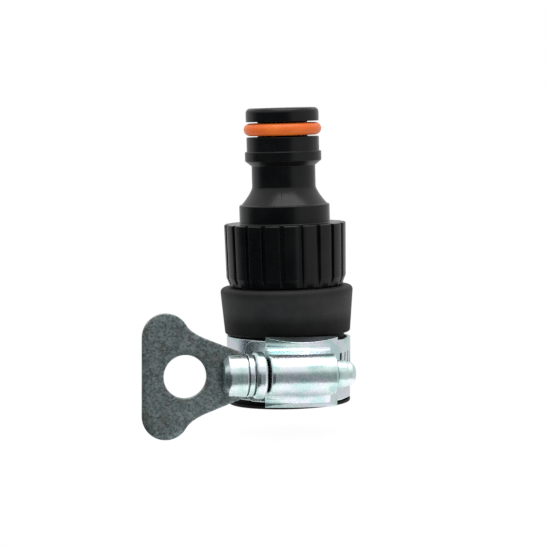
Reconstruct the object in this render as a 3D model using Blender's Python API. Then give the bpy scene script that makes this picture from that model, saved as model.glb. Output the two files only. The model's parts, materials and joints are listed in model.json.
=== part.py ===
# Hose tap connector: a quick-connect nipple with a fluted threaded skirt, screwed on an insert
# that a rubber sleeve holds. A worm-drive clamp with a thumb key squeezes the sleeve on a tap spout.
# Metres, +Z up. The origin is the middle of the sleeve's mouth, and the clamp's screw faces -Y.

import math

import bmesh
import bpy
import numpy as np
from mathutils import Matrix, Vector

MM = 0.001
CLEARANCE = 0.3 * MM

# Rubber sleeve
SLEEVE_HEIGHT = 25.35 * MM
SHOULDER_RADIUS = 14.47 * MM
SHOULDER_ROUND = 0.95 * MM
SEAT_RADIUS = 12.25 * MM
SKIRT_OVER_SEAT = 1.33 * MM
SKIRT_ROUND = 0.5 * MM
FOOT_OVER_SEAT = 1.0 * MM
FOOT_HEIGHT = 0.75 * MM
FOOT_ROUND = 0.35 * MM
SOCKET_RADIUS = 8.5 * MM
MOUTH_FLARE = 0.8 * MM
TOP_LIP = 1.8 * MM
SEAL_COUNT = 3
SEAL_HEIGHT = 0.5 * MM
SEAL_WIDTH = 1.4 * MM
SEAL_PITCH = 4.0 * MM
FIRST_SEAL = 4.0 * MM

# Threaded insert
STUB_RADIUS = 10.2 * MM
STUB_BORE_RADIUS = 6.5 * MM
FLANGE_RADIUS = 11.75 * MM
FLANGE_THICKNESS = 2.0 * MM
TAIL_LENGTH = 3.5 * MM
STUB_LEAD = 0.6 * MM

# Fluted skirt of the tap connector
COLLAR_HEIGHT = 13.4 * MM
COLLAR_TOP_RADIUS = 13.24 * MM
COLLAR_FOOT_RADIUS = 13.01 * MM
COLLAR_FOOT_BEVEL = 0.76 * MM
COLLAR_FOOT_BEVEL_HEIGHT = 1.9 * MM
COLLAR_TOP_BEVEL = 0.3 * MM
RIB_COUNT = 20
RIB_GROOVE_WIDTH = 0.95 * MM
RIB_GROOVE_FLOOR = 0.55 * MM
RIB_GROOVE_DEPTH = 0.7 * MM
RIB_RUNOUT = 0.15 * MM
RIB_PHASE = math.radians(-3.5)
THREAD_DEPTH = 11.6 * MM
THREAD_LEAD = 0.4 * MM

# Nipple of the tap connector
BODY_RADIUS = 9.8 * MM
BODY_HEIGHT = 4.1 * MM
BODY_ROUND = 0.25 * MM
FLARE_INSET = 0.48 * MM
FLARE_HEIGHT = 3.85 * MM
FLARE_POWER = 1.4
NECK_RADIUS = 6.9 * MM
NECK_HEIGHT = 4.5 * MM
CATCH_SLOPE = 1.1 * MM
CATCH_RADIUS = 8.28 * MM
CATCH_HEIGHT = 2.0 * MM
LAND_RADIUS = 7.85 * MM
LAND_HEIGHT = 3.15 * MM
NIPPLE_LIP_RADIUS = 7.9 * MM
NIPPLE_LIP_HEIGHT = 2.95 * MM
NIPPLE_LIP_ROUND = 1.1 * MM
NIPPLE_BORE_RADIUS = 4.3 * MM
NIPPLE_BORE_LEAD = 0.6 * MM
WATERWAY_RADIUS = 6.5 * MM
WATERWAY_TAPER = 4.0 * MM

# Seals
O_RING_SECTION = 2.7 * MM
O_RING_OUTER_RADIUS = 8.4 * MM
GASKET_THICKNESS = 2.2 * MM
GASKET_RADIUS = 9.4 * MM
GASKET_BORE_RADIUS = 6.0 * MM

# Clamp band
CLAMP_TURN = math.radians(11.5)
CLAMP_TILT = math.radians(1.8)
BAND_WIDTH = 13.0 * MM
BAND_THICKNESS = 0.7 * MM
BAND_PLAY = 0.33 * MM
BAND_START = math.radians(31)
BAND_STEP_FROM = math.radians(-300)
BAND_STEP_TO = math.radians(-326)
BAND_TAIL_END = math.radians(-413)
BAND_CORNER = 2.0 * MM
SLOT_PITCH = math.radians(10)
SLOT_COUNT = 19
SLOT_FIRST = math.radians(-401)
SLOT_WIDTH = 0.85 * MM
SLOT_LENGTH = 7.2 * MM
SLOT_SLANT = 0.4 * MM

# Clamp housing
HOUSING_THICKNESS = 0.75 * MM
HOUSING_HALF_ANGLE = math.radians(30.6)
COVER_HEAD_REACH = 8.5 * MM
COVER_TIP_REACH = 6.0 * MM

# Worm screw, measured along its axis from the middle of the clamp
WORM_RADIUS = 3.35 * MM
SCREW_NECK_RADIUS = 2.6 * MM
SCREW_FLANGE_RADIUS = 5.0 * MM
SCREW_FLANGE_WIDTH = 2.35 * MM
SCREW_FLANGE_GAP = 0.6 * MM
SCREW_GROOVE_WIDTH = 0.3 * MM
SCREW_GROOVE_DEPTH = 0.35 * MM
SCREW_RING_WIDTH = 1.05 * MM
SCREW_HEAD_RADIUS = 4.5 * MM
SCREW_HEAD_LENGTH = 4.9 * MM
SCREW_HEAD_BEVEL = 1.1 * MM
TIP_RADIUS = 3.0 * MM
TIP_LENGTH = 2.25 * MM
TIP_RIM_RADIUS = 2.7 * MM
TIP_DOME_LENGTH = 2.0 * MM

# Thumb key, measured along the screw from the head's outer end
KEY_THICKNESS = 1.2 * MM
KEY_REACH = 16.95 * MM
KEY_TONGUE = 4.1 * MM
KEY_HALF_HEIGHT = 13.24 * MM
KEY_CORNER_RADIUS = 5.0 * MM
KEY_NECK_HALF_HEIGHT = 6.47 * MM
KEY_NECK_SLOPE = 0.39
KEY_NECK_LENGTH = 2.85 * MM
KEY_CORNER_SWEEP = math.radians(30)
KEY_HOLE_RADIUS = 4.53 * MM
KEY_HOLE_REACH = 7.9 * MM

# Facets
ROUND_SIDES = 40
SCREW_SIDES = 28
ARC_STEPS = 4

# Radii and heights worked out from the stack of pieces, mouth to nipple
skirt_radius = SEAT_RADIUS + SKIRT_OVER_SEAT
foot_radius = SEAT_RADIUS + FOOT_OVER_SEAT
band_outer_radius = (SEAT_RADIUS + BAND_WIDTH / 2 * math.sin(CLAMP_TILT)
                     + CLEARANCE + BAND_THICKNESS)
band_inner_radius = band_outer_radius - BAND_THICKNESS
band_lift = band_outer_radius * math.sin(CLAMP_TILT)
groove_top = FOOT_HEIGHT + BAND_WIDTH + 2 * (band_lift + BAND_PLAY)
clamp_height = FOOT_HEIGHT + BAND_WIDTH / 2 + band_lift + BAND_PLAY

chamber_top = SLEEVE_HEIGHT - TOP_LIP
flange_top = chamber_top - CLEARANCE
flange_bottom = flange_top - FLANGE_THICKNESS
chamber_bottom = flange_bottom - CLEARANCE
tail_radius = SOCKET_RADIUS - CLEARANCE
tail_bottom = chamber_bottom - TAIL_LENGTH

collar_bottom = SLEEVE_HEIGHT + CLEARANCE
collar_top = collar_bottom + COLLAR_HEIGHT
gasket_seat = collar_bottom + THREAD_DEPTH
gasket_top = gasket_seat - CLEARANCE
gasket_bottom = gasket_top - GASKET_THICKNESS
stub_top = gasket_bottom - CLEARANCE
thread_bore_radius = STUB_RADIUS + CLEARANCE

body_top = collar_top + BODY_HEIGHT
neck_bottom = body_top + FLARE_HEIGHT
neck_top = neck_bottom + NECK_HEIGHT
catch_bottom = neck_top + CATCH_SLOPE
catch_top = catch_bottom + CATCH_HEIGHT
land_top = catch_top + LAND_HEIGHT
o_ring_groove_top = land_top + O_RING_SECTION + 2 * CLEARANCE
o_ring_height = (land_top + o_ring_groove_top) / 2
o_ring_centre_radius = O_RING_OUTER_RADIUS - O_RING_SECTION / 2
o_ring_floor_radius = O_RING_OUTER_RADIUS - O_RING_SECTION - CLEARANCE
nipple_top = o_ring_groove_top + NIPPLE_LIP_HEIGHT

# Radii of the clamp's layers, and stations along the screw
tail_band_inner_radius = band_outer_radius + CLEARANCE
tail_band_outer_radius = tail_band_inner_radius + BAND_THICKNESS
plate_inner_radius = tail_band_outer_radius + CLEARANCE
plate_outer_radius = plate_inner_radius + HOUSING_THICKNESS
screw_offset = plate_inner_radius + WORM_RADIUS
cover_inner_radius = WORM_RADIUS + CLEARANCE
cover_outer_radius = cover_inner_radius + HOUSING_THICKNESS
housing_half_width = BAND_WIDTH / 2 + CLEARANCE + HOUSING_THICKNESS
housing_lip_radius = skirt_radius + housing_half_width * math.sin(CLAMP_TILT) + CLEARANCE

cover_from = -COVER_HEAD_REACH
cover_to = COVER_TIP_REACH
worm_from = cover_from + HOUSING_THICKNESS + CLEARANCE
worm_to = cover_to - HOUSING_THICKNESS - CLEARANCE
flange_face = cover_from - SCREW_FLANGE_GAP
flange_back = flange_face - SCREW_FLANGE_WIDTH
ring_face = flange_back - SCREW_GROOVE_WIDTH
ring_back = ring_face - SCREW_RING_WIDTH
head_face = ring_back - SCREW_GROOVE_WIDTH
head_end = head_face - SCREW_HEAD_LENGTH
tip_face = cover_to + CLEARANCE
tip_rim = tip_face + TIP_LENGTH
tip_end = tip_rim + TIP_DOME_LENGTH
key_slot_width = KEY_THICKNESS + 2 * CLEARANCE


def clear_scene():
    """Empties the file."""
    for old in list(bpy.data.objects):
        bpy.data.objects.remove(old, do_unlink=True)


def linear(hex_colour):
    """The linear colour of an sRGB one such as 2A2B2D."""
    channels = [int(hex_colour[i:i + 2], 16) / 255 for i in (0, 2, 4)]
    return [c / 12.92 if c <= 0.04045 else ((c + 0.055) / 1.055) ** 2.4 for c in channels]


def material(name, hex_colour, roughness, metallic=0.0):
    """A plain Principled material."""
    made = bpy.data.materials.new(name)
    made.use_nodes = True
    shader = made.node_tree.nodes["Principled BSDF"]
    shader.inputs["Base Color"].default_value = (*linear(hex_colour), 1.0)
    shader.inputs["Roughness"].default_value = roughness
    shader.inputs["Metallic"].default_value = metallic
    return made


def add_object(name, bm, made_of=None, parent=None):
    """Turns a bmesh into an object, smooth where it is round."""
    bmesh.ops.recalc_face_normals(bm, faces=bm.faces)
    mesh = bpy.data.meshes.new(name)
    bm.to_mesh(mesh)
    bm.free()
    mesh.shade_smooth()
    mesh.set_sharp_from_angle(angle=math.radians(30))
    if made_of:
        mesh.materials.append(made_of)
    piece = bpy.data.objects.new(name, mesh)
    piece.parent = parent
    bpy.context.collection.objects.link(piece)
    return piece


def empty(name, location, rotation=(0, 0, 0), parent=None):
    """A frame that pieces hang from."""
    frame = bpy.data.objects.new(name, None)
    frame.location = location
    frame.rotation_euler = rotation
    frame.parent = parent
    bpy.context.collection.objects.link(frame)
    return frame


def combine(piece, tool, operation):
    """Joins a helper to a piece or cuts it away, and hides the helper."""
    tool.hide_render = True
    tool.display_type = "WIRE"
    step = piece.modifiers.new(tool.name, "BOOLEAN")
    step.operation = operation
    step.object = tool
    step.solver = "EXACT"


def arc(centre, radius, start, end, steps=ARC_STEPS):
    """Points along an arc, given in degrees, both ends included."""
    turns = [math.radians(start + (end - start) * i / steps) for i in range(steps + 1)]
    return [(centre[0] + radius * math.cos(t), centre[1] + radius * math.sin(t)) for t in turns]


def ring(bm, radius, height, sides):
    """A ring of vertices about +Z."""
    turns = [2 * math.pi * i / sides for i in range(sides)]
    return [bm.verts.new((radius * math.cos(t), radius * math.sin(t), height)) for t in turns]


def bridge(bm, lower, upper):
    """Quads between two rings with as many vertices."""
    for i, corner in enumerate(lower):
        j = (i + 1) % len(lower)
        bm.faces.new((corner, lower[j], upper[j], upper[i]))


def turned_ring(outline, sides=ROUND_SIDES):
    """A solid turned about +Z from a closed outline that stays off the axis."""
    bm = bmesh.new()
    rings = [ring(bm, radius, height, sides) for radius, height in outline]
    for i, lower in enumerate(rings):
        bridge(bm, lower, rings[(i + 1) % len(rings)])
    return bm


def turned_bar(outline, sides=ROUND_SIDES):
    """A solid turned about +Z from an open outline, closed by a flat face at each end."""
    bm = bmesh.new()
    rings = [ring(bm, radius, height, sides) for radius, height in outline]
    for lower, upper in zip(rings, rings[1:]):
        bridge(bm, lower, upper)
    bm.faces.new(rings[0])
    bm.faces.new(rings[-1])
    return bm


def prism(outline, start, end):
    """A solid with a closed (x, y) outline, from one height to another."""
    bm = bmesh.new()
    lower = [bm.verts.new((x, y, start)) for x, y in outline]
    upper = [bm.verts.new((x, y, end)) for x, y in outline]
    bridge(bm, lower, upper)
    bm.faces.new(lower)
    bm.faces.new(upper)
    return bm


def seal_outline():
    """The sealing rings inside the socket, from the top one down."""
    points = []
    for i in reversed(range(SEAL_COUNT)):
        middle = FIRST_SEAL + i * SEAL_PITCH
        points.append((SOCKET_RADIUS, middle + SEAL_WIDTH / 2))
        points.append((SOCKET_RADIUS - SEAL_HEIGHT, middle))
        points.append((SOCKET_RADIUS, middle - SEAL_WIDTH / 2))
    return points


def make_rubber_sleeve(rubber):
    """Moulded rubber socket: tapered skirt, a groove for the band and a foot below it."""
    foot = arc((foot_radius - FOOT_ROUND, FOOT_ROUND), FOOT_ROUND, -90, 0, 2)
    skirt = arc((skirt_radius - SKIRT_ROUND, groove_top + SKIRT_ROUND), SKIRT_ROUND, -90, 0, 3)
    shoulder = arc((SHOULDER_RADIUS - SHOULDER_ROUND, SLEEVE_HEIGHT - SHOULDER_ROUND),
                   SHOULDER_ROUND, 5, 90)
    outside = [*foot, (foot_radius, FOOT_HEIGHT), (SEAT_RADIUS, FOOT_HEIGHT),
               (SEAT_RADIUS, groove_top), *skirt, *shoulder]
    stub_hole = STUB_RADIUS + CLEARANCE
    chamber = FLANGE_RADIUS + CLEARANCE
    inside = [(stub_hole, SLEEVE_HEIGHT), (stub_hole, chamber_top), (chamber, chamber_top),
              (chamber, chamber_bottom), (SOCKET_RADIUS, chamber_bottom), *seal_outline(),
              (SOCKET_RADIUS, MOUTH_FLARE), (SOCKET_RADIUS + MOUTH_FLARE, 0)]
    return add_object("rubber_sleeve", turned_ring(outside + inside), rubber)


def make_threaded_insert(plastic):
    """Moulded stub with a male thread, whose flange the rubber grips. The thread is left plain."""
    outline = [(STUB_BORE_RADIUS, tail_bottom), (tail_radius, tail_bottom),
               (tail_radius, flange_bottom), (FLANGE_RADIUS, flange_bottom),
               (FLANGE_RADIUS, flange_top), (STUB_RADIUS, flange_top),
               (STUB_RADIUS, stub_top - STUB_LEAD), (STUB_RADIUS - STUB_LEAD, stub_top),
               (STUB_BORE_RADIUS, stub_top)]
    return add_object("threaded_insert", turned_ring(outline), plastic)


def make_flat_gasket(rubber):
    """Flat washer between the insert's end and the shoulder inside the skirt."""
    outline = [(GASKET_BORE_RADIUS, gasket_bottom), (GASKET_RADIUS, gasket_bottom),
               (GASKET_RADIUS, gasket_top), (GASKET_BORE_RADIUS, gasket_top)]
    return add_object("flat_gasket", turned_ring(outline), rubber)


def fluted_ring(bm, height, land_radius, floor_radius):
    """A ring of broad ribs with narrow grooves between them, five vertices to a rib."""
    vertices = []
    for i in range(RIB_COUNT):
        groove = RIB_PHASE - math.pi / 2 + 2 * math.pi * i / RIB_COUNT
        wide = RIB_GROOVE_WIDTH / 2 / land_radius
        narrow = RIB_GROOVE_FLOOR / 2 / floor_radius
        stations = [(-wide, land_radius), (-narrow, floor_radius), (narrow, floor_radius),
                    (wide, land_radius), (math.pi / RIB_COUNT, land_radius)]
        for turn, radius in stations:
            x = radius * math.cos(groove + turn)
            y = radius * math.sin(groove + turn)
            vertices.append(bm.verts.new((x, y, height)))
    return vertices


def fluted_skirt():
    """The gripping skirt as a solid block, slightly narrower at its foot."""
    foot_land = COLLAR_FOOT_RADIUS - COLLAR_FOOT_BEVEL
    top_land = COLLAR_TOP_RADIUS - COLLAR_TOP_BEVEL
    levels = [(collar_bottom, foot_land, foot_land - RIB_RUNOUT),
              (collar_bottom + COLLAR_FOOT_BEVEL_HEIGHT, COLLAR_FOOT_RADIUS,
               COLLAR_FOOT_RADIUS - RIB_GROOVE_DEPTH),
              (collar_top - COLLAR_TOP_BEVEL, COLLAR_TOP_RADIUS,
               COLLAR_TOP_RADIUS - RIB_GROOVE_DEPTH),
              (collar_top, top_land, COLLAR_TOP_RADIUS - RIB_GROOVE_DEPTH)]
    bm = bmesh.new()
    rings = [fluted_ring(bm, *level) for level in levels]
    for lower, upper in zip(rings, rings[1:]):
        bridge(bm, lower, upper)
    bm.faces.new(rings[0])
    bm.faces.new(rings[-1])
    return bm


def flare_outline():
    """The hollow curve from the body up to the neck."""
    points = []
    for i in range(1, 8):
        rise = i / 7
        reach = (1 - rise) ** FLARE_POWER
        radius = NECK_RADIUS + (BODY_RADIUS - FLARE_INSET - NECK_RADIUS) * reach
        points.append((radius, body_top + FLARE_HEIGHT * rise))
    return points


def nipple_block():
    """The nipple as a solid bar, from inside the skirt up to its rounded lip."""
    root = (gasket_seat + collar_top) / 2
    lip = arc((NIPPLE_LIP_RADIUS - NIPPLE_LIP_ROUND, nipple_top - NIPPLE_LIP_ROUND),
              NIPPLE_LIP_ROUND, 0, 90)
    outline = [(BODY_RADIUS, root), (BODY_RADIUS, body_top - BODY_ROUND),
               (BODY_RADIUS - BODY_ROUND, body_top), (BODY_RADIUS - FLARE_INSET, body_top),
               *flare_outline(), (NECK_RADIUS, neck_top),
               (CATCH_RADIUS, catch_bottom), (CATCH_RADIUS, catch_top),
               (LAND_RADIUS, catch_top), (LAND_RADIUS, land_top),
               (o_ring_floor_radius, land_top), (o_ring_floor_radius, o_ring_groove_top),
               (NIPPLE_LIP_RADIUS, o_ring_groove_top), *lip]
    return turned_bar(outline)


def waterway():
    """The threaded socket and the bore above it, as a solid to cut away."""
    outline = [(thread_bore_radius + THREAD_LEAD, collar_bottom - CLEARANCE),
               (thread_bore_radius + THREAD_LEAD, collar_bottom),
               (thread_bore_radius, collar_bottom + THREAD_LEAD),
               (thread_bore_radius, gasket_seat), (WATERWAY_RADIUS, gasket_seat),
               (WATERWAY_RADIUS, body_top),
               (NIPPLE_BORE_RADIUS, body_top + WATERWAY_TAPER),
               (NIPPLE_BORE_RADIUS, nipple_top - NIPPLE_BORE_LEAD),
               (NIPPLE_BORE_RADIUS + NIPPLE_BORE_LEAD, nipple_top),
               (NIPPLE_BORE_RADIUS + NIPPLE_BORE_LEAD, nipple_top + CLEARANCE)]
    return turned_bar(outline)


def make_tap_connector(plastic, parent):
    """One moulding: fluted skirt with a female thread below, quick-connect nipple above."""
    connector = add_object("tap_connector", fluted_skirt(), plastic, parent)
    combine(connector, add_object("nipple_helper", nipple_block(), parent=parent), "UNION")
    combine(connector, add_object("waterway_helper", waterway(), parent=parent), "DIFFERENCE")
    return connector


def make_nipple_o_ring(rubber, parent):
    """Round-section ring in the nipple's groove."""
    section = arc((o_ring_centre_radius, o_ring_height), O_RING_SECTION / 2, 0, 330, 11)
    return add_object("nipple_o_ring", turned_ring(section), rubber, parent)


def band_radius(turn):
    """Inner radius of the strip: it steps out before it passes over its own start."""
    share = (BAND_STEP_FROM - turn) / (BAND_STEP_FROM - BAND_STEP_TO)
    share = min(max(share, 0.0), 1.0)
    ease = share * share * (3 - 2 * share)
    return band_inner_radius + (tail_band_inner_radius - band_inner_radius) * ease


def band_stations():
    """Turns at which the strip has a cross line, with the slots' places marked."""
    half_slot = SLOT_WIDTH / 2 / tail_band_inner_radius
    slots = [SLOT_FIRST + i * SLOT_PITCH for i in range(SLOT_COUNT)]
    plain = np.arange(BAND_START, slots[-1] + SLOT_PITCH / 2, -SLOT_PITCH)
    stations = [(float(turn), False) for turn in plain]
    for slot in reversed(slots):
        stations.append((slot + half_slot, True))
        stations.append((slot - half_slot, False))
    stations.append((BAND_TAIL_END, False))
    return stations


def make_clamp_band(steel, parent):
    """One slotted strip: its start lies under the housing, its slotted end passes through it."""
    rows = [-BAND_WIDTH / 2, -SLOT_LENGTH / 2, SLOT_LENGTH / 2, BAND_WIDTH / 2]
    stations = band_stations()
    bm = bmesh.new()
    layers = []
    for depth in (0.0, BAND_THICKNESS):
        layer = []
        for i, (turn, _) in enumerate(stations):
            last = i == len(stations) - 1
            line = []
            for row in rows:
                edge = abs(row) > SLOT_LENGTH / 2
                slant = SLOT_SLANT * row / SLOT_LENGTH if 0 < i < len(stations) - 1 else 0.0
                trim = BAND_CORNER if last and edge else 0.0
                radius = band_radius(turn) + depth
                angle = turn + (slant + trim) / tail_band_inner_radius - math.pi / 2
                line.append(bm.verts.new((radius * math.cos(angle), radius * math.sin(angle), row)))
            layer.append(line)
        layers.append(layer)

    def is_solid(i, j):
        inside = 0 <= i < len(stations) - 1 and 0 <= j < len(rows) - 1
        return inside and not (stations[i][1] and j == 1)

    inner, outer = layers
    for i in range(len(stations) - 1):
        for j in range(len(rows) - 1):
            if not is_solid(i, j):
                continue
            corners = [(i, j), (i + 1, j), (i + 1, j + 1), (i, j + 1)]
            neighbours = [(i, j - 1), (i + 1, j), (i, j + 1), (i - 1, j)]
            bm.faces.new([outer[a][b] for a, b in corners])
            bm.faces.new([inner[a][b] for a, b in reversed(corners)])
            for k, neighbour in enumerate(neighbours):
                if not is_solid(*neighbour):
                    (a, b), (c, d) = corners[k], corners[(k + 1) % 4]
                    bm.faces.new((inner[a][b], inner[c][d], outer[c][d], outer[a][b]))
    return add_object("clamp_band", bm, steel, parent)


def curved_block(inner, outer, half_angle, half_width, steps=8):
    """Part of a tube about +Z whose middle faces -Y."""
    start = -90 - math.degrees(half_angle)
    end = -90 + math.degrees(half_angle)
    outline = arc((0, 0), outer, start, end, steps) + arc((0, 0), inner, end, start, steps)
    return prism(outline, -half_width, half_width)


def cover_block(radius, start, end, root):
    """A tunnel along +X whose round back faces -Y, with straight walls down to a root."""
    outline = arc((0, -screw_offset), radius, -180, 0, 12) + [(radius, -root), (-radius, -root)]
    bm = prism(outline, start, end)
    to_screw = Matrix(((0, 0, 1, 0), (0, 1, 0, 0), (-1, 0, 0, 0), (0, 0, 0, 1)))
    bmesh.ops.transform(bm, matrix=to_screw, verts=bm.verts)
    return bm


def along_screw(bm):
    """Lays a solid made about +Z along the screw, in the clamp's frame."""
    lay = Matrix.Translation((0, -screw_offset, 0)) @ Matrix.Rotation(math.pi / 2, 4, "Y")
    bmesh.ops.transform(bm, matrix=lay, verts=bm.verts)
    return bm


def make_clamp_housing(steel, parent):
    """Pressed housing: a curved plate with turned-down sides, and a tunnel over the worm."""
    plate = curved_block(housing_lip_radius, plate_outer_radius, HOUSING_HALF_ANGLE,
                         housing_half_width)
    housing = add_object("clamp_housing", plate, steel, parent)
    root = plate_inner_radius * math.cos(HOUSING_HALF_ANGLE)
    cover = cover_block(cover_outer_radius, cover_from, cover_to, root)
    combine(housing, add_object("cover_helper", cover, parent=parent), "UNION")
    channel = curved_block(root - CLEARANCE, plate_inner_radius, 2 * HOUSING_HALF_ANGLE,
                           BAND_WIDTH / 2 + CLEARANCE, 16)
    combine(housing, add_object("channel_helper", channel, parent=parent), "DIFFERENCE")
    hollow = cover_block(cover_inner_radius, cover_from + HOUSING_THICKNESS,
                         cover_to - HOUSING_THICKNESS, root - CLEARANCE)
    combine(housing, add_object("hollow_helper", hollow, parent=parent), "DIFFERENCE")
    journal = turned_bar([(SCREW_NECK_RADIUS + CLEARANCE, cover_from - CLEARANCE),
                          (SCREW_NECK_RADIUS + CLEARANCE, cover_to + CLEARANCE)], SCREW_SIDES)
    combine(housing, add_object("journal_helper", along_screw(journal), parent=parent),
            "DIFFERENCE")
    return housing


def make_worm_screw(steel, parent):
    """Slotted head, collar ring, flange, worm and domed tip. The worm's thread is left plain."""
    groove_radius = SCREW_HEAD_RADIUS - SCREW_GROOVE_DEPTH
    dome = [(TIP_RIM_RADIUS * math.cos(t), tip_rim + TIP_DOME_LENGTH * math.sin(t))
            for t in (0.0, math.radians(30), math.radians(60))]
    outline = [(SCREW_HEAD_RADIUS - SCREW_HEAD_BEVEL, head_end),
               (SCREW_HEAD_RADIUS, head_end + SCREW_HEAD_BEVEL),
               (SCREW_HEAD_RADIUS, head_face), (groove_radius, head_face),
               (groove_radius, ring_back), (SCREW_HEAD_RADIUS, ring_back),
               (SCREW_HEAD_RADIUS, ring_face), (groove_radius, ring_face),
               (groove_radius, flange_back), (SCREW_FLANGE_RADIUS, flange_back),
               (SCREW_FLANGE_RADIUS, flange_face), (SCREW_NECK_RADIUS, flange_face),
               (SCREW_NECK_RADIUS, worm_from), (WORM_RADIUS, worm_from), (WORM_RADIUS, worm_to),
               (SCREW_NECK_RADIUS, worm_to), (SCREW_NECK_RADIUS, tip_face),
               (TIP_RADIUS, tip_face), (TIP_RADIUS, tip_rim), *dome]
    screw = add_object("worm_screw", turned_bar(outline, SCREW_SIDES), steel, parent)
    reach = SCREW_HEAD_RADIUS + CLEARANCE
    slot = prism([(-reach, -key_slot_width / 2), (reach, -key_slot_width / 2),
                  (reach, key_slot_width / 2), (-reach, key_slot_width / 2)],
                 head_end - CLEARANCE, head_end + KEY_TONGUE + CLEARANCE)
    combine(screw, add_object("slot_helper", slot, parent=parent), "DIFFERENCE")
    return screw


def blend(start, corner, end, steps=5):
    """Points of the smooth curve that leaves start and reaches end towards a corner."""
    points = []
    for i in range(1, steps):
        t = i / steps
        ends = Vector(start) * (1 - t) ** 2 + Vector(end) * t ** 2
        points.append(tuple(ends + Vector(corner) * 2 * t * (1 - t)))
    return points


def key_half_outline():
    """Upper half of the key as (height, station) points, from the left edge to the tongue."""
    far = head_end - KEY_REACH
    centre = (KEY_HALF_HEIGHT - KEY_CORNER_RADIUS, far + KEY_CORNER_RADIUS)
    round_end = 90 - math.degrees(KEY_CORNER_SWEEP)
    corner = arc(centre, KEY_CORNER_RADIUS, -90, round_end, 10)
    neck = (KEY_NECK_HALF_HEIGHT + KEY_NECK_SLOPE * KEY_NECK_LENGTH, head_end - KEY_NECK_LENGTH)
    leave = Vector((-math.cos(KEY_CORNER_SWEEP), math.sin(KEY_CORNER_SWEEP)))
    arrive = Vector((-KEY_NECK_SLOPE, 1.0))
    gap = Vector(neck) - Vector(corner[-1])
    along = (gap.x * arrive.y - gap.y * arrive.x) / (leave.x * arrive.y - leave.y * arrive.x)
    meet = Vector(corner[-1]) + leave * along
    tongue = KEY_NECK_HALF_HEIGHT - KEY_NECK_SLOPE * KEY_TONGUE
    return [*corner, *blend(corner[-1], meet, neck), neck, (tongue, head_end + KEY_TONGUE)]


def make_thumb_key(steel, parent):
    """Stamped key with a finger hole, its tongue pressed in the slot of the screw's head."""
    half = key_half_outline()
    outline = half + [(-height, station) for height, station in reversed(half)]
    plate = prism(outline, -KEY_THICKNESS / 2, KEY_THICKNESS / 2)
    stand = Matrix(((1, 0, 0, 0), (0, 0, 1, 0), (0, 1, 0, 0), (0, 0, 0, 1)))
    bmesh.ops.transform(plate, matrix=stand, verts=plate.verts)
    key = add_object("thumb_key", plate, steel, parent)
    hole = prism(arc((0, head_end - KEY_HOLE_REACH), KEY_HOLE_RADIUS, 0, 345, 23),
                 -KEY_THICKNESS, KEY_THICKNESS)
    bmesh.ops.transform(hole, matrix=stand, verts=hole.verts)
    combine(key, add_object("finger_hole_helper", hole, parent=parent), "DIFFERENCE")
    return key


clear_scene()
black_rubber = material("moulded rubber", "2A2A2B", 0.62)
black_plastic = material("black acetal plastic", "131314", 0.3)
orange_rubber = material("orange silicone rubber", "E8672A", 0.4)
zinc_steel = material("bright zinc plated steel", "C4CACC", 0.22, 1.0)
dull_zinc = material("dull zinc plated steel", "7A8284", 0.42, 1.0)

make_rubber_sleeve(black_rubber)
make_threaded_insert(black_plastic)
make_flat_gasket(black_rubber)
thread_axis = empty("thread_axis", (0, 0, 0))
make_tap_connector(black_plastic, thread_axis)
make_nipple_o_ring(orange_rubber, thread_axis)

clamp_axis = empty("clamp_axis", (0, 0, clamp_height), (0, CLAMP_TILT, CLAMP_TURN))
make_clamp_band(zinc_steel, clamp_axis)
make_clamp_housing(zinc_steel, clamp_axis)
screw_axis = empty("screw_axis", (0, -screw_offset, 0), (0, math.pi / 2, 0), clamp_axis)
make_worm_screw(zinc_steel, screw_axis)
make_thumb_key(dull_zinc, screw_axis)
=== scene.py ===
# Looks of the hose tap connector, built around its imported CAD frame, piece by piece from the rubber
# sleeve up to the nipple and then out along the clamp. Sizes in each section are in millimetres.

import json
import math

import bmesh
import bpy
import numpy as np
from mathutils import Euler, Matrix, Vector


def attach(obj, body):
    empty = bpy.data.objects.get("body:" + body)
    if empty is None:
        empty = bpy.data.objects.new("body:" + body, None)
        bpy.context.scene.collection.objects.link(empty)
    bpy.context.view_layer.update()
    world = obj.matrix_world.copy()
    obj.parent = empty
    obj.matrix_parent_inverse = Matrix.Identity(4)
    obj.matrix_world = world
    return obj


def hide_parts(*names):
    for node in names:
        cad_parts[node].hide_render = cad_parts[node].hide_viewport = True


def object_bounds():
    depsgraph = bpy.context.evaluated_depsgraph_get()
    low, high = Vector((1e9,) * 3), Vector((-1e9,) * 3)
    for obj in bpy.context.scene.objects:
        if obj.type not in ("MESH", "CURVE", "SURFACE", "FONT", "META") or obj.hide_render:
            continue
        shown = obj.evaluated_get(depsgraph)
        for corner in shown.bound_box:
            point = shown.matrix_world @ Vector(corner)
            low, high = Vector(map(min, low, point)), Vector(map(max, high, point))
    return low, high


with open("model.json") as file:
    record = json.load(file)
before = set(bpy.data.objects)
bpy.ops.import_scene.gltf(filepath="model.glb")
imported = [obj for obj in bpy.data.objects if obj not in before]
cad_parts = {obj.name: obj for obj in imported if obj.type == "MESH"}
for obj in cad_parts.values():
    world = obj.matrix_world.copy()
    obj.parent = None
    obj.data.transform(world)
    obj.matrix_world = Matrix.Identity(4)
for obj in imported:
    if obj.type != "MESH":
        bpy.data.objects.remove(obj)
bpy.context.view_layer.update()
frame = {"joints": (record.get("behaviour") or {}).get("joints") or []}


# The photographer's camera. A long lens half a metre away looks slightly down on the part, and leans
# a little, so that the part seems to lean to the left.
MM = 0.001
CAMERA_TARGET = (-2.85, 0.0, 28.2)
CAMERA_DISTANCE = 500.0
CAMERA_RISE = math.radians(4.4)
CAMERA_LEAN = math.radians(-1.5)
CAMERA_LENS = 151.6

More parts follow.
